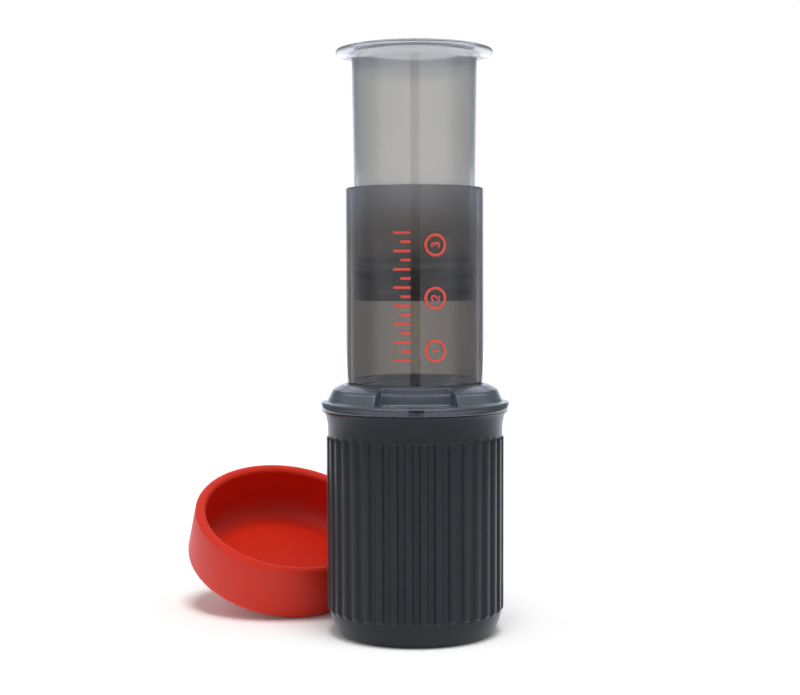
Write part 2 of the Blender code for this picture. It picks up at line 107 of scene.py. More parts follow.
# Flange, heights from the chamber's lower end
LIP_R = CHAMBER_HIGH.x
LIP_FOOT = 9.3 * MM
LIP_TOP = 13.3 * MM
LIP_LEAN = 0.35 * MM
LIP_TOP_FILLET = 1.3 * MM
CONE_FOOT_R = LIP_R - 3.2 * MM
SHOULDER_R = CONE_FOOT_R - 2.7 * MM
SHOULDER_Z = LIP_TOP + 5.8 * MM
PLATEAU_R = CHAMBER_R + 2.0 * MM
PLATEAU_Z = LIP_TOP + 8.2 * MM
SHOULDER_BACK_R = (SHOULDER_R + PLATEAU_R) / 2
SHOULDER_BACK_Z = (SHOULDER_Z + PLATEAU_Z) / 2
FLANGE_WALL = 1.8 * MM
HOLLOW_FILLET = 0.8 * MM
SKIRT_R = 39.2 * MM
SKIRT_WALL = 1.8 * MM
SKIRT_INNER_R = SKIRT_R - SKIRT_WALL
SKIRT_FOOT = LIP_FOOT - 2.5 * MM
SCOOP_COUNT = 3
SCOOP_HALF_DEG = 26.6
SCOOP_SIDE_DEG = 1.6
SCOOP_FOOT_R = PLATEAU_R + 2.5 * MM
SCOOP_ROOF_Z = LIP_TOP - FLANGE_WALL
SCOOP_BROW_R = PLATEAU_R + 1.6 * MM
SCOOP_BROW_Z = LIP_TOP + 5.0 * MM
SCOOP_BACK_R = PLATEAU_R + 0.55 * MM
SCOOP_BACK_Z = LIP_TOP + 5.15 * MM
VENT_WIDTH = 7.0 * MM
VENT_HEIGHT = 1.5 * MM
VENT_Z = LIP_FOOT + 2.3 * MM
OVERRUN = 1.0 * MM

# Plunger tube, heights from the shoulder that meets the seal
TUBE_R = 28.1 * MM
TUBE_MOUTH_R = 29.5 * MM
TUBE_WALL = 1.9 * MM
TUBE_SHOULDER_Z = SEAL_HIGH.z + 0.3 * MM
TUBE_LENGTH = TUBE_HIGH.z - TUBE_SHOULDER_Z
TUBE_FLOOR = 2.6 * MM
TUBE_MOUTH_FILLET = 1.2 * MM
FLOOR_FILLET = 2.5 * MM
GRIP_R = TUBE_HIGH.x
GRIP_THICKNESS = 2.4 * MM
GRIP_RISE = 0.5 * MM
GRIP_ROOT_FILLET = 3.4 * MM
GRIP_TOP_FILLET = 1.0 * MM
BOSS_NECK_R = 20.0 * MM
BOSS_NECK_HEIGHT = 3.5 * MM
BOSS_HEAD_R = 22.0 * MM
BOSS_HEAD_HEIGHT = 4.5 * MM

# Seal, heights from its lower face
SEAL_R = SEAL_HIGH.x
SEAL_HEIGHT = SEAL_HIGH.z - SEAL_LOW.z
SEAL_WAIST_R = SEAL_R - 1.0 * MM
SEAL_LIP_HEIGHT = 2.4 * MM
SEAL_RAMP = 1.2 * MM
SEAL_CHAMFER = 0.4 * MM
SEAL_GAP = 0.3 * MM

# Mug, heights from the ground
MUG_HEIGHT = MUG_HIGH.z
RIM_R = 44.3 * MM
RIM_EDGE = 0.15 * MM
RIM_DROP = 0.2 * MM
RIM_INNER_R = RIM_R - 2.2 * MM
RIM_INNER_DROP = 1.5 * MM
NECK_R = 41.4 * MM
MUG_INNER_R = 38.2 * MM
MUG_FLOOR = 3.0 * MM
FOOT_INSET = 5.4 * MM
FOOT_R = NECK_R - FOOT_INSET
CORNER_HEIGHT = 14.0 * MM
CORNER_POWER = 1.5
BASE_R = FOOT_R - 1.0 * MM
BASE_STEP = 0.8 * MM
INNER_CORNER = 9.0 * MM
FLARE_HEIGHT = 9.5 * MM
FLARE_FOOT = MUG_HEIGHT - FLARE_HEIGHT
FLARE_DEG = 72.0
INNER_FLARE_SHARES = (0.8, 0.7, 0.55, 0.4, 0.2, 0.0)

# Ribs, heights from the ground. Shares are of the way from a groove's middle to a crest's.
RIB_COUNT = 38
RIB_PITCH_DEG = FULL_TURN_DEG / RIB_COUNT
RIB_RISE = 0.7 * MM
GROOVE_DEPTH = 0.7 * MM
RIB_FOOT = 11.2 * MM
RIB_HEAD = 94.3 * MM
RIB_END = 1.6 * MM
GROOVE_FLOOR_SHARE = 0.32
GROOVE_MOUTH_SHARE = 0.66

# Lid, heights from its closed face
LID_INNER_R = 45.5 * MM
LID_R = LID_INNER_R + 3.4 * MM
LID_DEPTH = 33.5 * MM
LID_FACE = 3.2 * MM
LID_FACE_R = LID_R - 21.5 * MM
LID_SHOULDER_HEIGHT = 8.0 * MM
LID_INNER_CORNER = 12.0 * MM
LID_RIM_R = LID_R - 1.0 * MM
LID_RIM_ROUND = 2.2 * MM
LID_LIP_R = LID_INNER_R - 3.0 * MM
LID_LIP_HEIGHT = 6.0 * MM
LID_TILT_DEG = 25.0
LID_ROLL_DEG = 11.1

# Print on the chamber: heights from the ground, and distances round the chamber from its front
PRINT_LIFT = 0.02 * MM
PRINT_THICKNESS = 0.05 * MM
PRINT_STROKE = 1.2 * MM
STROKE_CORNERS = ((-1, 0), (1, 0), (1, 1), (-1, 1))
RING_R = 4.6 * MM
RING_ALONG = 9.2 * MM
RING_HEIGHTS = (135.3 * MM, 159.3 * MM, 183.4 * MM)
RING_STEPS = 48
DIGIT_HEIGHT = 3.6 * MM
DIGIT_WIDTH = 2.2 * MM
DIGIT_STROKE = 0.8 * MM
SCALE_ALONG = -2.2 * MM
SCALE_LOW = 131.0 * MM
SCALE_HIGH = 189.0 * MM
SCALE_TICKS = 15
LONG_TICK = 8.0 * MM
SHORT_TICK = 4.6 * MM
LONG_EVERY = 2
TICK_STEPS = 8

# Digits in a box one wide and one high: points, and arcs as centre, radii, two angles and steps
ONE = [(0.5, 0.0), (0.5, 1.0)]
TWO_BOWL = ((0.5, 0.72), (0.5, 0.28), 170.0, -40.0, 14)
TWO_FOOT = [(0.0, 0.0), (1.0, 0.0)]
THREE_UPPER = ((0.45, 0.75), (0.45, 0.25), 150.0, -90.0, 12)
THREE_LOWER = ((0.45, 0.25), (0.5, 0.25), 90.0, -150.0, 12)

# Opaque finishes. A noise, given as scale and detail, shades each from dark to light and varies
# its roughness where that is a range. A finer grain, where given, carries the relief instead.
FINISHES = {
    "mug_plastic": {
        "noise": (38.0, 2.0),
        "dark": (0.0245, 0.0255, 0.0300),
        "light": (0.0305, 0.0315, 0.0370),
        "roughness": (0.29, 0.35),
        "specular": 0.09,
        "grain": (2600.0, 3.0),
        "relief": 0.08,
    },
    "seal_rubber": {
        "noise": (160.0, 3.0),
        "dark": (0.005, 0.005, 0.006),
        "light": (0.009, 0.009, 0.010),
        "roughness": (0.45, 0.62),
        "specular": 0.3,
    },
    "cap_plastic": {
        "noise": (1400.0, 2.0),
        "dark": (0.012, 0.012, 0.013),
        "light": (0.018, 0.018, 0.020),
        "roughness": (0.34, 0.46),
        "relief": 0.10,
    },
    "filter_paper": {
        "noise": (700.0, 6.0),
        "dark": (0.66, 0.60, 0.50),
        "light": (0.80, 0.75, 0.66),
        "roughness": 0.9,
        "relief": 0.4,
    },
    "lid_silicone": {
        "noise": (30.0, 3.0),
        "dark": (0.58, 0.018, 0.004),
        "light": (0.64, 0.024, 0.007),
        "roughness": (0.50, 0.60),
        "specular": 0.34,
        "grain": (1800.0, 2.0),
        "relief": 0.06,
    },
    "print_ink": {
        "noise": (900.0, 2.0),
        "dark": (0.66, 0.055, 0.035),
        "light": (0.74, 0.07, 0.045),
        "roughness": 0.4,
    },
}
RELIEF_DEPTH = 0.05 * MM

# See-through finishes. A tint is a colour at how far the wall is turned from the eye. The upper
# tints take over up through the height zone; the chamber's are paler and bluer, painted light for
# the light that comes in at its open top. Upright streaks, a noise, vary the roughness.
CLEAR_IOR = 1.5
SLANT_BLEND = 0.5
STREAK_NOISE = (90.0, 2.0)
STREAK_STRETCH = (1.0, 1.0, 0.15)
CHAMBER_FINISH = {
    "clarity": 1.0,
    "roughness": (0.02, 0.05),
    "tints": (
        (0.0, (0.352, 0.325, 0.298)),
        (0.46, (0.195, 0.185, 0.177)),
        (0.58, (0.110, 0.110, 0.110)),
        (0.64, (0.020, 0.020, 0.022)),
    ),
    # Painted light: paler, bluer tints towards the chamber's open top, where more light comes in.
    "upper_tints": (
        (0.0, (0.520, 0.520, 0.540)),
        (0.46, (0.290, 0.295, 0.310)),
        (0.58, (0.160, 0.165, 0.175)),
        (0.64, (0.030, 0.032, 0.036)),
    ),
    "zone": (CHAMBER_HIGH.z - 26.0 * MM, CHAMBER_HIGH.z),
}
FLANGE_FINISH = {
    "clarity": 0.82,
    "roughness": (0.03, 0.06),
    "tints": ((0.0, (0.29, 0.315, 0.375)), (0.5, (0.18, 0.20, 0.25))),
}
PLUNGER_FINISH = {
    "clarity": 0.86,
    "roughness": (0.05, 0.09),
    "tints": (
        (0.0, (0.720, 0.708, 0.690)),
        (0.50, (0.600, 0.600, 0.605)),
        (0.68, (0.590, 0.595, 0.600)),
    ),
    "upper_tints": (
        (0.0, (0.50, 0.505, 0.52)),
        (0.65, (0.56, 0.57, 0.59)),
        (0.82, (0.22, 0.23, 0.25)),
    ),
    "zone": (TUBE_HIGH.z - 13.0 * MM, TUBE_HIGH.z - 6.5 * MM),
}
PLUNGER_FLOOR_FINISH = {
    "clarity": 0.86,
    "roughness": (0.05, 0.09),
    "tints": ((0.0, (0.22, 0.23, 0.25)), (0.65, (0.15, 0.16, 0.18))),
}

# Floor
WHITE = (1.0, 1.0, 1.0)
FLOOR_SIZE = 5.0
FLOOR_FRONT = 1.5
FLOOR_COLOUR = 0.97
FLOOR_ROUGHNESS = 0.9
FLOOR_LIFT = 0.05

# Surroundings, 1 being white. Reflections see a box in front with a narrow gap at its middle,
# duller sides, a backdrop, a brighter overhead and a strip above the front. Each fades between its
# ends, which are how far up or back a direction points, and for the gap's sides across over back.
AMBIENT = 0.34
REFLECTED = (0.90, 0.97, 1.08)
BESIDE = 0.28
FRONT_BOX = 1.12
FRONT_BOX_ENDS = (-0.6, -0.1)
FRONT_TOP_ENDS = (0.12, 0.18)
BACKDROP_ENDS = (0.82, 0.98)
GAP_SIDE_ENDS = (0.13, 0.16)
GAP_TOP_ENDS = (0.25, 0.50)
OVERHEAD = 1.1
OVERHEAD_ENDS = (0.30, 0.60)
STRIP = 3.6
STRIP_LOW_ENDS = (0.50, 0.58)
STRIP_HIGH_ENDS = (0.76, 0.84)
STRIP_FRONT_ENDS = (-0.35, -0.20)

# Lamps: where each stands from the object, its spread in degrees and its strength
LAMPS = {
    "left_lamp": ((-1.1, -0.3, 0.9), 50.0, 0.30),
    "right_lamp": ((1.1, -0.3, 0.9), 50.0, 0.32),
    "top_lamp": ((0.08, -0.34, 1.4), 24.0, 2.0),
}


def smooth_share(value, low, high):
    """A share that rises smoothly from 0 at low to 1 at high."""
    share = min(max((value - low) / (high - low), 0.0), 1.0)
    return share * share * (3.0 - 2.0 * share)


def arc(centre, radii, start_deg, end_deg, steps):
    """Points of an elliptical arc in the outline plane, both ends included."""
    points = []
    for step in range(steps + 1):
        angle = math.radians(start_deg + (end_deg - start_deg) * step / steps)
        radius = centre[0] + radii[0] * math.cos(angle)
        height = centre[1] + radii[1] * math.sin(angle)
        points.append((radius, height))
    return points


def rounded(corners, closed=False):
    """An outline with its corners rounded. A corner is a radius, a height and its fillet."""
    points = []
    for index, (radius, height, fillet) in enumerate(corners):
        at_end = index in (0, len(corners) - 1) and not closed
        if at_end or fillet == NO_FILLET:
            points.append((radius, height))
            continue
        corner = Vector((radius, height))
        before = Vector(corners[index - 1][:2]) - corner
        after = Vector(corners[(index + 1) % len(corners)][:2]) - corner
        reach = min(fillet, before.length / 2, after.length / 2)
        start = corner + before.normalized() * reach
        end = corner + after.normalized() * reach
        for step in range(FILLET_STEPS + 1):
            share = step / FILLET_STEPS
            near = start.lerp(corner, share)
            far = corner.lerp(end, share)
            points.append(tuple(near.lerp(far, share)))
    return points


def mixed(first, second, share):
    """The outline part of the way from one outline to another with as many points."""
    return [
        (a[0] + (b[0] - a[0]) * share, a[1] + (b[1] - a[1]) * share)
        for a, b in zip(first, second)
    ]


def even_angles():
    """Evenly spaced angles round a full turn, in degrees, starting at the front."""
    return [FRONT_DEG + FULL_TURN_DEG * step / ROUND_STEPS for step in range(ROUND_STEPS)]


def edge_angles(count, half_deg, side_deg):
    """Close angles across the two sides of each of count evenly spaced stretches."""
    angles = []
    for index in range(count):
        centre = FRONT_DEG + FULL_TURN_DEG * index / count
        for side in (-1, 1):
            for step in range(EDGE_STEPS + 1):
                offset = half_deg + side_deg * (step / EDGE_STEPS - 1 / 2)
                angles.append(centre + side * offset)
    return angles


def in_order(angles):
    """The different angles of a list, once each and in order round the turn."""
    phases = {round((angle - FRONT_DEG) % FULL_TURN_DEG, ANGLE_DECIMALS) for angle in angles}
    return [FRONT_DEG + phase for phase in sorted(phases)]


def off_centre(angle, count):
    """Degrees from an angle to the nearest of count evenly spaced centres."""
    pitch = FULL_TURN_DEG / count
    phase = (angle - FRONT_DEG) % pitch
    return min(phase, pitch - phase)


def stretch_share(angle, count, half_deg, side_deg):
    """A share that is 1 inside each of count evenly spaced stretches and 0 outside them."""
    low = half_deg - side_deg / 2
    high = half_deg + side_deg / 2
    return 1.0 - smooth_share(off_centre(angle, count), low, high)


def turned(name, outline_at, angles, material, body, node, base_z=0.0, closed=False):
    """A turned piece through the outlines at each angle, that stands for a node of the frame."""
    bm = bmesh.new()
    columns = []
    for angle in angles:
        across = math.cos(math.radians(angle))
        along = math.sin(math.radians(angle))
        columns.append([
            bm.verts.new((radius * across, radius * along, height + base_z))
            for radius, height in outline_at(angle)
        ])
    count = len(columns[0])
    for here, there in zip(columns, columns[1:] + columns[:1]):
        for low in range(count if closed else count - 1):
            high = (low + 1) % count
            bm.faces.new((here[low], there[low], there[high], here[high]))
    bmesh.ops.remove_doubles(bm, verts=bm.verts, dist=WELD)
    if not closed:
        bmesh.ops.holes_fill(bm, edges=[edge for edge in bm.edges if edge.is_boundary])
    bmesh.ops.recalc_face_normals(bm, faces=bm.faces)
    return add_piece(name, bm, material, body, node)


def turned_evenly(name, outline, material, body, node, base_z=0.0):
    """A turned piece with one outline all round."""
    return turned(name, lambda angle: outline, even_angles(), material, body, node, base_z)


def new_object(name, bm):
    """Put a bmesh in the scene as an object."""
    mesh = bpy.data.meshes.new(name)
    bm.to_mesh(mesh)
    bm.free()
    thing = bpy.data.objects.new(name, mesh)
    bpy.context.scene.collection.objects.link(thing)
    return thing


def add_piece(name, bm, material, body, node=None):
    """Put a bmesh in the scene as a piece on a body, standing for a node where one is named."""
    piece = new_object(name, bm)
    piece.data.shade_smooth()
    piece.data.set_sharp_from_angle(angle=math.radians(SHARP_DEG))
    piece.data.materials.append(material)
    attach(piece, body)
    if node:
        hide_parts(node)
    return piece


def give_second_material(piece, material, is_there):
    """Give a second material to the faces of a piece whose centres pass a test."""
    piece.data.materials.append(material)
    for face in piece.data.polygons:
        if is_there(face.center):
            face.material_index = 1


class Tree:
    """A node tree, with short calls to add and join nodes."""

    def __init__(self, tree):
        self.tree = tree

    def add(self, kind, **values):
        """A node with its settings and the values of its inputs."""
        node = self.tree.nodes.new(kind)
        for key, value in values.items():
            if hasattr(node, key):
                setattr(node, key, value)
            else:
                node.inputs[key.replace("_", " ")].default_value = value
        return node

    def join(self, source, target):
        """A link from one socket to another."""
        self.tree.links.new(source, target)

    def combine(self, operation, first, second=0.0):
        """The result of a sum or comparison of two values, each a socket or a number."""
        node = self.add("ShaderNodeMath", operation=operation)
        for socket, value in zip(node.inputs, (first, second)):
            if hasattr(value, "is_linked"):
                self.join(value, socket)
            else:
                socket.default_value = value
        return node.outputs[0]

    def ramp(self, value, ends, low=0.0, high=1.0, shape="SMOOTHSTEP"):
        """A value that goes from low to high while another goes from one end to the other."""
        node = self.add("ShaderNodeMapRange", interpolation_type=shape)
        self.join(value, node.inputs["Value"])
        for key, number in zip(("From Min", "From Max", "To Min", "To Max"), (*ends, low, high)):
            node.inputs[key].default_value = number
        return node.outputs["Result"]

    def shades(self, factor, *stops):
        """A colour that follows stops, each a place on the factor and the colour there."""
        ramp = self.add("ShaderNodeValToRGB")
        elements = ramp.color_ramp.elements
        for index, (place, colour) in enumerate(stops):
            element = elements[index] if index < len(elements) else elements.new(place)
            element.position = place
            element.color = (*colour, 1.0)
        self.join(factor, ramp.inputs["Fac"])
        return ramp.outputs["Color"]

    def seen_rays(self):
        """A socket that is 1 for camera, glossy and transmission rays."""
        rays = self.add("ShaderNodeLightPath").outputs
        direct = self.combine("MAXIMUM", rays["Is Camera Ray"], rays["Is Glossy Ray"])
        return self.combine("MAXIMUM", direct, rays["Is Transmission Ray"])


class Finish(Tree):
    """A material's node tree, with the patterns that its shader follows."""

    def __init__(self, name):
        self.material = bpy.data.materials.new(name)
        self.material.use_nodes = True
        super().__init__(self.material.node_tree)
        self.shader = self.tree.nodes["Principled BSDF"]

    def set(self, **values):
        """Values, or the sockets that they follow, on the shader's own sockets."""
        for key, value in values.items():
            socket = self.shader.inputs[key.replace("_", " ")]
            if hasattr(value, "is_linked"):
                self.join(value, socket)
            else:
                socket.default_value = value

    def place(self):
        """A place in the piece's own space."""
        return self.add("ShaderNodeTexCoord").outputs["Object"]

    def noise(self, scale, detail, stretch=None):
        """A noise pattern in the piece's own space, stretched along its axes where given."""
        place = self.place()
        if stretch:
            mapping = self.add("ShaderNodeMapping")
            mapping.inputs["Scale"].default_value = stretch
            self.join(place, mapping.inputs["Vector"])
            place = mapping.outputs["Vector"]
        noise = self.add("ShaderNodeTexNoise", Scale=scale, Detail=detail)
        self.join(place, noise.inputs["Vector"])
        return noise.outputs["Fac"]

    def spread(self, factor, low, high):
        """A factor spread from low to high."""
        return self.ramp(factor, (0.0, 1.0), low, high, shape="LINEAR")

    def between(self, first, last, factor):
        """A colour part of the way from one colour socket to another."""
        mix = self.add("ShaderNodeMix", data_type="RGBA")
        colours = [socket for socket in mix.inputs if socket.type == "RGBA"]
        self.join(factor, mix.inputs["Factor"])
        self.join(first, colours[0])
        self.join(last, colours[1])
        return [socket for socket in mix.outputs if socket.type == "RGBA"][0]

    def height_share(self, zone):
        """A share that rises smoothly from 0 to 1 between two heights of the piece."""
        split = self.add("ShaderNodeSeparateXYZ")
        self.join(self.place(), split.inputs["Vector"])
        return self.ramp(split.outputs["Z"], zone)

    def bump(self, height, strength, distance):
        """A bump from a height pattern, on the shader's normal."""
        bump = self.add("ShaderNodeBump", Strength=strength, Distance=distance)
        self.join(height, bump.inputs["Height"])
        self.set(Normal=bump.outputs["Normal"])


def opaque(name):
    """One of the opaque finishes."""
    finish = Finish(name)
    look = FINISHES[name]
    noise = finish.noise(*look["noise"])
    finish.set(Base_Color=finish.shades(noise, (0.0, look["dark"]), (1.0, look["light"])))
    roughness = look["roughness"]
    if isinstance(roughness, tuple):
        roughness = finish.spread(noise, *roughness)
    finish.set(Roughness=roughness)
    if "specular" in look:
        finish.set(Specular_IOR_Level=look["specular"])
    if "relief" in look:
        grain = finish.noise(*look["grain"]) if "grain" in look else noise
        finish.bump(grain, look["relief"], RELIEF_DEPTH)
    return finish.material


def see_through(name, look):
    """A see-through plastic."""
    finish = Finish(name)
    finish.set(Transmission_Weight=look["clarity"], IOR=CLEAR_IOR)
    slant = finish.add("ShaderNodeLayerWeight", Blend=SLANT_BLEND).outputs["Facing"]
    colour = finish.shades(slant, *look["tints"])
    # Upper tints blend in by height. On the chamber they are painted light, paler towards its open
    # top.
    if "upper_tints" in look:
        upper = finish.shades(slant, *look["upper_tints"])
        colour = finish.between(colour, upper, finish.height_share(look["zone"]))
    streaks = finish.noise(*STREAK_NOISE, stretch=STREAK_STRETCH)
    finish.set(Base_Color=colour, Roughness=finish.spread(streaks, *look["roughness"]))
    return finish.material


def rib_angles():
    """Angles that follow each rib's rounded section, a groove facing front."""
    width = GROOVE_MOUTH_SHARE - GROOVE_FLOOR_SHARE
    shares = [
        (GROOVE_FLOOR_SHARE + width * step / EDGE_STEPS) / 2
        for step in range(EDGE_STEPS + 1)
    ]
    offsets = sorted({0.0, 1 / 2, *shares, *(1.0 - share for share in shares)})
    return [
        FRONT_DEG + RIB_PITCH_DEG * (rib + offset)
        for rib in range(RIB_COUNT)
        for offset in offsets
    ]


def rib_relief(angle):
    """How far the mug's ribbed side stands off its plain radius at an angle."""
    share = 2 * off_centre(angle, RIB_COUNT) / RIB_PITCH_DEG
    crest = smooth_share(share, GROOVE_FLOOR_SHARE, GROOVE_MOUTH_SHARE)
    return (RIB_RISE + GROOVE_DEPTH) * crest - GROOVE_DEPTH


def corner_r(height):
    """The radius of the mug's rounded foot at a height, and of its neck above the foot."""
    drop = max(0.0, CORNER_HEIGHT - height) / CORNER_HEIGHT
    return FOOT_R + FOOT_INSET * (1.0 - drop ** CORNER_POWER) ** (1.0 / CORNER_POWER)


def inner_flare_r(height):
    """The radius inside the mug at a height near its rim."""
    rise = max(0.0, height - FLARE_FOOT) / FLARE_HEIGHT
    return RIM_INNER_R - (RIM_INNER_R - MUG_INNER_R) * math.sqrt(1.0 - min(rise, 1.0) ** 2)


def rib_end(start, reach, relief):
    """Points over which the ribs grow to their full relief from a height on."""
    points = []
    for step in range(EDGE_STEPS + 1):
        share = step / EDGE_STEPS
        height = start + reach * share
        points.append((corner_r(height) + relief * smooth_share(share, 0.0, 1.0), height))
    return points


def mug_side(relief):
    """The mug's outside from its base ring to the ribs' upper end."""
    foot = [(BASE_R, 0.0), (BASE_R, BASE_STEP)]
    for step in range(FOOT_STEPS):
        height = BASE_STEP + (RIB_FOOT - BASE_STEP) * (step / FOOT_STEPS) ** CORNER_POWER
        foot.append((corner_r(height), height))
    upper_end = rib_end(RIB_HEAD, -RIB_END, relief)
    return foot + rib_end(RIB_FOOT, RIB_END, relief) + upper_end[::-1]


def mug_rim():
    """The mug's flare and rim, over to its inside."""
    flare_radii = (NECK_R - RIM_R, FLARE_HEIGHT)
    flare = arc((RIM_R, FLARE_FOOT), flare_radii, 0.0, FLARE_DEG, FLARE_STEPS)
    rim = rounded([
        (*flare[-1], NO_FILLET),
        (RIM_R, MUG_HEIGHT - RIM_DROP, RIM_EDGE),
        (RIM_R - RIM_EDGE, MUG_HEIGHT, RIM_EDGE),
        (RIM_INNER_R, MUG_HEIGHT, EDGE_FILLET),
        (RIM_INNER_R, MUG_HEIGHT - RIM_INNER_DROP, NO_FILLET),
    ])
    return flare + rim[1:]


def mug_inside():
    """The mug's inside from below its rim to its floor."""
    heights = [FLARE_FOOT + FLARE_HEIGHT * share for share in INNER_FLARE_SHARES]
    flare = [(inner_flare_r(height), height) for height in heights]
    centre = (MUG_INNER_R - INNER_CORNER, MUG_FLOOR + INNER_CORNER)
    radii = (INNER_CORNER, INNER_CORNER)
    return flare + arc(centre, radii, 0.0, -QUARTER_TURN_DEG, INNER_CORNER_STEPS)


def mug_outline(angle):
    """The mug's outline from the middle of its base, up outside and down inside."""
    side = mug_side(rib_relief(angle))
    return [(0.0, 0.0), *side, *mug_rim(), *mug_inside(), (0.0, MUG_FLOOR)]


def make_mug():
    """The ribbed mug."""
    return turned("ribbed_mug", mug_outline, rib_angles(), opaque("mug_plastic"), "mug", "mug")


def flange_hollow(scooped):
    """The flange's hollow underside, from the chamber's wall to the skirt."""
    if scooped:
        return [
            (CHAMBER_R, SCOOP_ROOF_Z, SOFT_FILLET),
            (SCOOP_FOOT_R, SCOOP_ROOF_Z, SOFT_FILLET),
            (SKIRT_INNER_R, (SCOOP_ROOF_Z + LIP_FOOT) / 2, SOFT_FILLET),
        ]
    return [
        (CHAMBER_R, PLATEAU_Z - FLANGE_WALL, SOFT_FILLET),
        (SHOULDER_R - FLANGE_WALL, SHOULDER_Z - FLANGE_WALL, HOLLOW_FILLET),
        (CONE_FOOT_R - FLANGE_WALL, LIP_TOP, HOLLOW_FILLET),
    ]


def flange_brow(scooped):
    """The flange's upper side, from the lip to the plateau."""
    if scooped:
        return [
            (SCOOP_FOOT_R, LIP_TOP, ROUND_FILLET),
            (SCOOP_BROW_R, SCOOP_BROW_Z, EDGE_FILLET),
            (SCOOP_BACK_R, SCOOP_BACK_Z, HAIR_FILLET),
        ]
    return [
        (CONE_FOOT_R, LIP_TOP, ROUND_FILLET),
        (SHOULDER_R, SHOULDER_Z, SOFT_FILLET),
        (SHOULDER_BACK_R, SHOULDER_BACK_Z, EDGE_FILLET),
    ]


def section_outline(lug_r, scooped):
    """The chamber's outline, its flange full or cut back by a scoop."""
    return rounded([
        (BORE_R, 0.0, EDGE_FILLET),
        (CHAMBER_R, 0.0, CHAMBER_FOOT_FILLET),
        (CHAMBER_R, LUG_FOOT - LUG_EDGE, NO_FILLET),
        (lug_r, LUG_FOOT, NO_FILLET),
        (lug_r, LUG_TOP, NO_FILLET),
        (CHAMBER_R, LUG_TOP + LUG_EDGE, NO_FILLET),
        *flange_hollow(scooped),
        (SKIRT_INNER_R, LIP_FOOT, HAIR_FILLET),
        (SKIRT_INNER_R, SKIRT_FOOT, FINE_FILLET),
        (SKIRT_R, SKIRT_FOOT, FINE_FILLET),
        (SKIRT_R, LIP_FOOT, HAIR_FILLET),
        (LIP_R, LIP_FOOT, HAIR_FILLET),
        (LIP_R - LIP_LEAN, LIP_TOP, LIP_TOP_FILLET),
        *flange_brow(scooped),
        (PLATEAU_R, PLATEAU_Z, EDGE_FILLET),
        (CHAMBER_R, PLATEAU_Z, ROUND_FILLET),
        (CHAMBER_R, CHAMBER_LENGTH, SOFT_FILLET),
        (BORE_R, CHAMBER_LENGTH, ROUND_FILLET),
        (BORE_R, PLATEAU_Z, NO_FILLET),
    ], closed=True)


def chamber_outline(angle):
    """The chamber's outline with its lugs, flange and scoops, as they are at this angle."""
    lug = stretch_share(angle, LUG_COUNT, LUG_HALF_DEG, LUG_SIDE_DEG)
    scoop = stretch_share(angle, SCOOP_COUNT, SCOOP_HALF_DEG, SCOOP_SIDE_DEG)
    lug_r = CHAMBER_R + (LUG_R - CHAMBER_R) * lug
    return mixed(section_outline(lug_r, False), section_outline(lug_r, True), scoop)


def cut_vents(chamber):
    """Cut the vent slot through the lip under each scoop."""
    inner = SCOOP_BROW_R
    outer = LIP_R + OVERRUN
    bm = bmesh.new()
    for scoop in range(SCOOP_COUNT):
        angle = math.radians(FRONT_DEG + FULL_TURN_DEG * scoop / SCOOP_COUNT)
        middle = Matrix.Translation(((inner + outer) / 2, 0.0, CHAMBER_LOW.z + VENT_Z))
        shape = Matrix.Diagonal((outer - inner, VENT_WIDTH, VENT_HEIGHT, 1.0))
        bmesh.ops.create_cube(bm, size=1.0, matrix=Matrix.Rotation(angle, 4, "Z") @ middle @ shape)
    cutter = new_object("vents", bm)
    modifier = chamber.modifiers.new("vents", "BOOLEAN")
    modifier.operation = "DIFFERENCE"
    modifier.solver = "EXACT"
    modifier.object = cutter
    bpy.context.view_layer.update()
    evaluated = chamber.evaluated_get(bpy.context.evaluated_depsgraph_get())
    cut = bpy.data.meshes.new_from_object(evaluated)
    chamber.modifiers.clear()
    chamber.data = cut
    bpy.data.objects.remove(cutter, do_unlink=True)


def in_flange(place):
    """Whether a place on the chamber belongs to the flange or to the bore inside it."""
    reach = math.hypot(place.x, place.y)
    in_wall = BORE_R <= reach <= CHAMBER_R
    return not in_wall and SKIRT_FOOT <= place.z - CHAMBER_LOW.z <= PLATEAU_Z


def make_chamber():
    """The see-through chamber with its flange."""
    angles = in_order(
        even_angles()
        + edge_angles(SCOOP_COUNT, SCOOP_HALF_DEG, SCOOP_SIDE_DEG)
        + edge_angles(LUG_COUNT, LUG_HALF_DEG, LUG_SIDE_DEG)
    )
    chamber = turned(
        "clear_chamber", chamber_outline, angles, see_through("chamber_plastic", CHAMBER_FINISH),
        "chamber", "chamber", CHAMBER_LOW.z, closed=True,
    )
    cut_vents(chamber)
    flange = see_through("chamber_plastic_thick", FLANGE_FINISH)
    give_second_material(chamber, flange, in_flange)
    return chamber


def tube_outline():
    """The plunger tube's outline, up outside and down inside."""
    boss_foot = -(BOSS_NECK_HEIGHT + BOSS_HEAD_HEIGHT)
    grip_foot = TUBE_LENGTH - GRIP_THICKNESS
    return rounded([
        (0.0, boss_foot, NO_FILLET),
        (BOSS_HEAD_R, boss_foot, EDGE_FILLET),
        (BOSS_HEAD_R, -BOSS_NECK_HEIGHT, FINE_FILLET),
        (BOSS_NECK_R, -BOSS_NECK_HEIGHT, HAIR_FILLET),
        (BOSS_NECK_R, 0.0, HAIR_FILLET),
        (TUBE_R, 0.0, SOFT_FILLET),
        (TUBE_R, TUBE_FLOOR + FLOOR_FILLET, NO_FILLET),
        (TUBE_MOUTH_R, grip_foot, GRIP_ROOT_FILLET),
        (GRIP_R, grip_foot + GRIP_RISE, ROUND_FILLET),
        (GRIP_R, TUBE_LENGTH, GRIP_TOP_FILLET),
        (TUBE_MOUTH_R - TUBE_WALL, TUBE_LENGTH, TUBE_MOUTH_FILLET),
        (TUBE_R - TUBE_WALL, TUBE_FLOOR, FLOOR_FILLET),
        (0.0, TUBE_FLOOR, NO_FILLET),
    ])


def in_tube_floor(place):
    """Whether a place on the plunger tube belongs to its floor or its boss."""
    return place.z < TUBE_SHOULDER_Z + TUBE_FLOOR + FLOOR_FILLET


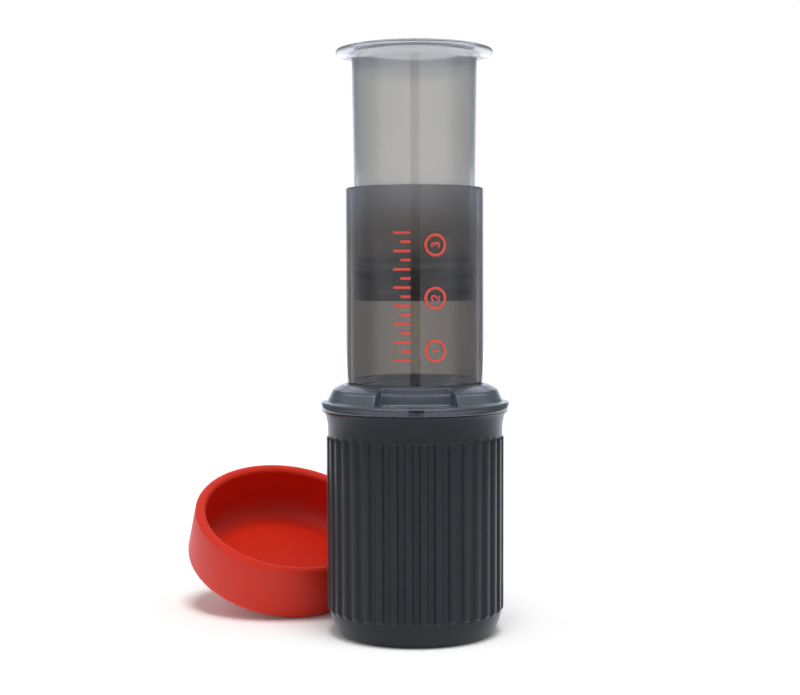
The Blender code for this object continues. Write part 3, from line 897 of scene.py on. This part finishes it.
def make_plunger():
    """The hollow see-through plunger tube."""
    tube = turned_evenly(
        "plunger_glazed_tube", tube_outline(), see_through("plunger_plastic", PLUNGER_FINISH),
        "plunger", "plunger_tube", TUBE_SHOULDER_Z,
    )
    floor = see_through("plunger_plastic_thick", PLUNGER_FLOOR_FINISH)
    give_second_material(tube, floor, in_tube_floor)
    return tube


def seal_outline():
    """The seal's outline: two lips, a waist and the socket for the plunger's boss."""
    mouth_r = BOSS_NECK_R + SEAL_GAP
    socket_r = BOSS_HEAD_R + SEAL_GAP
    undercut = SEAL_HEIGHT + 2 * SEAL_GAP - BOSS_NECK_HEIGHT
    socket_floor = SEAL_HEIGHT - BOSS_NECK_HEIGHT - BOSS_HEAD_HEIGHT
    return rounded([
        (0.0, 0.0, NO_FILLET),
        (SEAL_R - SEAL_CHAMFER, 0.0, NO_FILLET),
        (SEAL_R, SEAL_CHAMFER, NO_FILLET),
        (SEAL_R, SEAL_RAMP + SEAL_LIP_HEIGHT, EDGE_FILLET),
        (SEAL_WAIST_R, 2 * SEAL_RAMP + SEAL_LIP_HEIGHT, EDGE_FILLET),
        (SEAL_WAIST_R, SEAL_HEIGHT - SEAL_LIP_HEIGHT - SEAL_RAMP, EDGE_FILLET),
        (SEAL_R, SEAL_HEIGHT - SEAL_LIP_HEIGHT, EDGE_FILLET),
        (SEAL_R, SEAL_HEIGHT, EDGE_FILLET),
        (mouth_r, SEAL_HEIGHT, HAIR_FILLET),
        (mouth_r, undercut, NO_FILLET),
        (socket_r, undercut, NO_FILLET),
        (socket_r, socket_floor, HAIR_FILLET),
        (0.0, socket_floor, NO_FILLET),
    ])


def make_seal():
    """The rubber seal."""
    return turned_evenly(
        "rubber_seal", seal_outline(), opaque("seal_rubber"), "plunger", "plunger_seal", SEAL_LOW.z
    )


def lid_outline():
    """The lid's outline: flat face, round shoulder, and a thick rim that curls inwards."""
    shoulder_centre = (LID_FACE_R, LID_SHOULDER_HEIGHT)
    shoulder_radii = (LID_R - LID_FACE_R, LID_SHOULDER_HEIGHT)
    rim_centre = ((LID_RIM_R + LID_LIP_R) / 2, LID_DEPTH - LID_RIM_ROUND)
    rim_radii = ((LID_RIM_R - LID_LIP_R) / 2, LID_RIM_ROUND)
    inner_centre = (LID_INNER_R - LID_INNER_CORNER, LID_FACE + LID_INNER_CORNER)
    inner_radii = (LID_INNER_CORNER, LID_INNER_CORNER)
    return [
        (0.0, 0.0),
        *arc(shoulder_centre, shoulder_radii, -QUARTER_TURN_DEG, 0.0, LID_STEPS),
        *arc(rim_centre, rim_radii, 0.0, HALF_TURN_DEG, LID_STEPS),
        (LID_INNER_R, LID_DEPTH - LID_LIP_HEIGHT),
        *arc(inner_centre, inner_radii, 0.0, -QUARTER_TURN_DEG, LID_STEPS),
        (0.0, LID_FACE),
    ]


def make_lid():
    """The soft lid, leaning as its solid does."""
    lid = turned_evenly("soft_lid", lid_outline(), opaque("lid_silicone"), "lid", "lid")
    roll = Matrix.Rotation(math.radians(LID_ROLL_DEG), 4, "Y")
    tilt = Matrix.Rotation(math.radians(LID_TILT_DEG), 4, "X")
    lid.data.transform(roll @ tilt)
    corners = [vertex.co for vertex in lid.data.vertices]
    low = Vector([min(corner[axis] for corner in corners) for axis in range(3)])
    high = Vector([max(corner[axis] for corner in corners) for axis in range(3)])
    shift = (LID_LOW + LID_HIGH - low - high) / 2
    shift.z = LID_LOW.z - low.z
    lid.data.transform(Matrix.Translation(shift))
    return lid


def on_chamber(across, height, radius):
    """The point on the chamber's outside a distance round from its front, at a height."""
    angle = across / CHAMBER_R
    return (radius * math.sin(angle), -radius * math.cos(angle), height)


def add_stroke(bm, points, width, closed=False):
    """Add a flat printed stroke along points, each a distance round the chamber and a height."""
    line = [Vector(point) for point in points]
    count = len(line)
    rows = []
    for index, point in enumerate(line):
        before = line[index - 1] if closed or index else point
        after = line[(index + 1) % count] if closed or index < count - 1 else point
        along = (after - before).normalized()
        side = Vector((-along.y, along.x)) * width / 2
        row = []
        for edge, lift in STROKE_CORNERS:
            spot = point + side * edge
            radius = CHAMBER_R + PRINT_LIFT + PRINT_THICKNESS * lift
            row.append(bm.verts.new(on_chamber(spot.x, spot.y, radius)))
        rows.append(row)
    for here, there in zip(rows, rows[1:] + rows[:1] if closed else rows[1:]):
        for first in range(len(STROKE_CORNERS)):
            second = (first + 1) % len(STROKE_CORNERS)
            bm.faces.new((here[first], here[second], there[second], there[first]))
    if not closed:
        bm.faces.new(rows[0][::-1])
        bm.faces.new(rows[-1])


def digit_stroke(digit):
    """The stroke of a digit in a box one wide and one high, as points right and up."""
    if digit == 1:
        return ONE
    if digit == 2:
        return arc(*TWO_BOWL) + TWO_FOOT
    return arc(*THREE_UPPER) + arc(*THREE_LOWER)[1:]


def add_level_mark(bm, number, height):
    """Add a ringed number, read upwards, at a height."""
    ring = arc((RING_ALONG, height), (RING_R, RING_R), 0.0, FULL_TURN_DEG, RING_STEPS)
    add_stroke(bm, ring[:-1], PRINT_STROKE, closed=True)
    placed = [
        (RING_ALONG - (up - 1 / 2) * DIGIT_HEIGHT, height + (right - 1 / 2) * DIGIT_WIDTH)
        for right, up in digit_stroke(number)
    ]
    add_stroke(bm, placed, DIGIT_STROKE)


def add_scale(bm):
    """Add the plain scale of long and short ticks."""
    for tick in range(SCALE_TICKS):
        height = SCALE_LOW + (SCALE_HIGH - SCALE_LOW) * tick / (SCALE_TICKS - 1)
        length = LONG_TICK if tick % LONG_EVERY == 0 else SHORT_TICK
        start = Vector((SCALE_ALONG, height))
        end = Vector((SCALE_ALONG - length, height))
        points = [start.lerp(end, step / TICK_STEPS) for step in range(TICK_STEPS + 1)]
        add_stroke(bm, points, PRINT_STROKE)


def make_print():
    """Red level marks on the chamber: ringed numbers and a plain scale."""
    ink = opaque("print_ink")
    prints = []
    for number, height in enumerate(RING_HEIGHTS, start=1):
        bm = bmesh.new()
        add_level_mark(bm, number, height)
        prints.append((f"level_mark_{number}", bm))
    bm = bmesh.new()
    add_scale(bm)
    prints.append(("level_scale", bm))
    for name, bm in prints:
        bmesh.ops.recalc_face_normals(bm, faces=bm.faces)
        add_piece(name, bm, ink, "chamber")


def dress_cad_nodes():
    """Give the hidden cap and paper, which keep their solids, their own finishes."""
    for node, finish in (("filter_cap", "cap_plastic"), ("paper_filter", "filter_paper")):
        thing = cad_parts[node]
        thing.data.materials.clear()
        thing.data.materials.append(opaque(finish))


def make_floor():
    """Plain pale floor that reads as white and keeps the object's shadow."""
    bm = bmesh.new()
    bmesh.ops.create_grid(bm, x_segments=1, y_segments=1, size=FLOOR_SIZE / 2)
    floor = new_object("floor", bm)
    floor.location.y = FLOOR_SIZE / 2 - FLOOR_FRONT
    paper = Finish("floor_paper")
    paper.set(
        Base_Color=(FLOOR_COLOUR, FLOOR_COLOUR, FLOOR_COLOUR, 1.0),
        Roughness=FLOOR_ROUGHNESS,
        Specular_IOR_Level=0.0,
        Emission_Color=(*WHITE, 1.0),
        Emission_Strength=paper.spread(paper.seen_rays(), 0.0, FLOOR_LIFT),
    )
    floor.data.materials.append(paper.material)


def mirrored_light(tree):
    """How bright the surroundings are in a reflection, by direction."""
    split = tree.add("ShaderNodeSeparateXYZ")
    tree.join(tree.add("ShaderNodeTexCoord").outputs["Generated"], split.inputs["Vector"])
    across, back, up = split.outputs
    facing = tree.ramp(back, FRONT_BOX_ENDS, FRONT_BOX - BESIDE, 0.0)
    below_top = tree.ramp(up, FRONT_TOP_ENDS, 1.0, 0.0)
    boxes = tree.combine("ADD", tree.combine("MULTIPLY", facing, below_top), BESIDE)
    ring = tree.combine("MAXIMUM", boxes, tree.ramp(back, BACKDROP_ENDS, BESIDE, 1.0))
    sideways = tree.combine("ABSOLUTE", tree.combine("DIVIDE", across, back))
    behind = tree.combine("GREATER_THAN", back, 0.0)
    past_gap = tree.combine("MAXIMUM", tree.ramp(sideways, GAP_SIDE_ENDS), behind)
    off_level = tree.ramp(tree.combine("ABSOLUTE", up), GAP_TOP_ENDS)
    lit = tree.combine("MAXIMUM", tree.combine("MULTIPLY", ring, past_gap), off_level)
    overhead = tree.ramp(up, OVERHEAD_ENDS, 1.0, OVERHEAD)
    strip = tree.combine(
        "MULTIPLY",
        tree.ramp(up, STRIP_LOW_ENDS, 0.0, STRIP),
        tree.ramp(up, STRIP_HIGH_ENDS, 1.0, 0.0),
    )
    strip = tree.combine("MULTIPLY", strip, tree.ramp(back, STRIP_FRONT_ENDS, 1.0, 0.0))
    return tree.combine("ADD", tree.combine("MULTIPLY", lit, overhead), strip)


def make_world():
    """White surroundings, softer as a light, with their own look in reflections."""
    world = bpy.data.worlds.new("studio")
    bpy.context.scene.world = world
    world.use_nodes = True
    tree = Tree(world.node_tree)
    rays = tree.add("ShaderNodeLightPath").outputs
    reflected = tree.combine("MINIMUM", rays["Glossy Depth"], 1.0)
    mirrored = tree.combine("MULTIPLY", mirrored_light(tree), reflected)
    seen = tree.combine("MAXIMUM", rays["Is Camera Ray"], rays["Is Transmission Ray"])
    unmirrored = tree.combine("SUBTRACT", 1.0, reflected)
    plain = tree.combine("MULTIPLY", unmirrored, tree.ramp(seen, (0.0, 1.0), AMBIENT, 1.0))
    background = tree.tree.nodes["Background"]
    tree.join(tree.shades(reflected, (0.0, WHITE), (1.0, REFLECTED)), background.inputs["Color"])
    tree.join(tree.combine("ADD", mirrored, plain), background.inputs["Strength"])


def make_lights():
    """Soft distant lamps at the left, the right and above, which show in no reflection."""
    for name, (place, spread_deg, strength) in LAMPS.items():
        lamp = bpy.data.lights.new(name, "SUN")
        lamp.angle = math.radians(spread_deg)
        lamp.energy = strength
        thing = bpy.data.objects.new(name, lamp)
        thing.rotation_euler = (-Vector(place)).to_track_quat("-Z", "Y").to_euler()
        thing.visible_glossy = False
        thing.visible_transmission = False
        bpy.context.scene.collection.objects.link(thing)


def make_camera():
    """The camera at the photo's place, pitch and field of view."""
    camera = bpy.data.cameras.new("camera")
    camera.sensor_fit = "HORIZONTAL"
    camera.sensor_width = SENSOR_WIDTH
    camera.lens = FOCAL_PX * SENSOR_WIDTH / PHOTO_WIDTH_PX
    camera.clip_start = CLIP_START
    thing = bpy.data.objects.new("camera", camera)
    thing.location = CAMERA_PLACE
    pitch = Matrix.Rotation(math.radians(QUARTER_TURN_DEG - CAMERA_PITCH_DEG), 3, "X")
    roll = Matrix.Rotation(math.radians(CAMERA_ROLL_DEG), 3, "Z")
    thing.rotation_euler = (pitch @ roll).to_euler()
    bpy.context.scene.collection.objects.link(thing)
    bpy.context.scene.camera = thing


def main():
    """Make every piece, then the studio."""
    make_mug()
    make_chamber()
    make_plunger()
    make_seal()
    make_lid()
    make_print()
    dress_cad_nodes()
    make_floor()
    make_world()
    make_lights()
    make_camera()
    bpy.context.scene.view_settings.view_transform = "Standard"


main()
